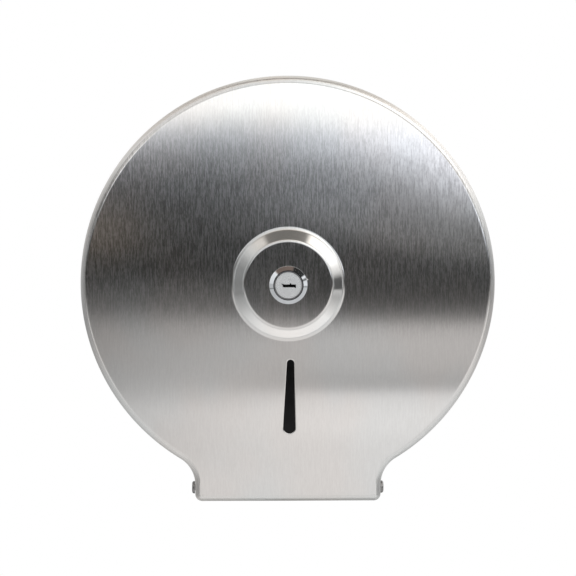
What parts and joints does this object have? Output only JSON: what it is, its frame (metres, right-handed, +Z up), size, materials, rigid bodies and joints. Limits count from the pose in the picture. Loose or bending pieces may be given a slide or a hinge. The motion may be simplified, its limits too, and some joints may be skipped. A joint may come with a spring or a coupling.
{
  "type": "jumbo toilet roll dispenser",
  "caption": "Wall-hung round steel drum for one jumbo paper roll, with a hinged front cover, a central cam lock, a sight slot and a turning core sleeve.",
  "frame": {"origin": "where the spindle's axis meets the wall, at the centre of the four wall holes, on the back plate's rear face", "axes": "+X to the viewer's right, +Y into the wall along the spindle's axis, +Z up"},
  "size_m": [0.275, 0.1245, 0.2835],
  "materials": {
    "brushed_steel": "vertical fine brush grain, semi-bright",
    "inner_steel": "mill finish sheet, dull",
    "black_coat": "black powder coat on steel sheet, fine texture",
    "rivet_metal": "plain, slightly dull",
    "dark_plastic": "moulded, fine texture",
    "screw_steel": "zinc-bright, turned",
    "white_nylon": "moulded nylon",
    "lock_chrome": "polished chrome",
    "lock_zinc": "plated die casting, satin",
    "plug_satin": "satin plated face"
  },
  "bodies": {
    "back": {"back_plate": "black_coat", "side_band": "brushed_steel", "tear_strip_left": "inner_steel", "tear_strip_right": "inner_steel", "spindle_flange": "inner_steel", "spindle_rivets": "rivet_metal", "spindle_tube": "inner_steel", "lock_strike": "inner_steel", "hinge_screws": "screw_steel", "hinge_washers": "screw_steel", "hinge_nuts": "screw_steel"},
    "cover": {"front_cover": "brushed_steel", "hinge_bushes": "white_nylon", "lock_bezel": "lock_chrome", "lock_body": "lock_zinc", "lock_washer": "screw_steel", "lock_nut": "screw_steel"},
    "lock_core": {"lock_plug": "plug_satin", "lock_cam": "screw_steel", "cam_washer": "screw_steel", "cam_screw": "screw_steel"},
    "roll_hub": {"core_sleeve": "dark_plastic"}
  },
  "joints": [
    {"name": "cover_hinge", "type": "hinge", "parent": "back", "child": "cover", "pos_m": [0, -0.103, -0.138], "axis": [1, 0, 0], "range_deg": [0, 90]},
    {"name": "plug_turn", "type": "hinge", "parent": "cover", "child": "lock_core", "pos_m": [0, -0.1215, 0], "axis": [0, 1, 0], "range_deg": [0, 90]},
    {"name": "hub_spin", "type": "hinge", "parent": "back", "child": "roll_hub", "pos_m": [0, -0.055, 0], "axis": [0, -1, 0], "continuous": true}
  ]
}
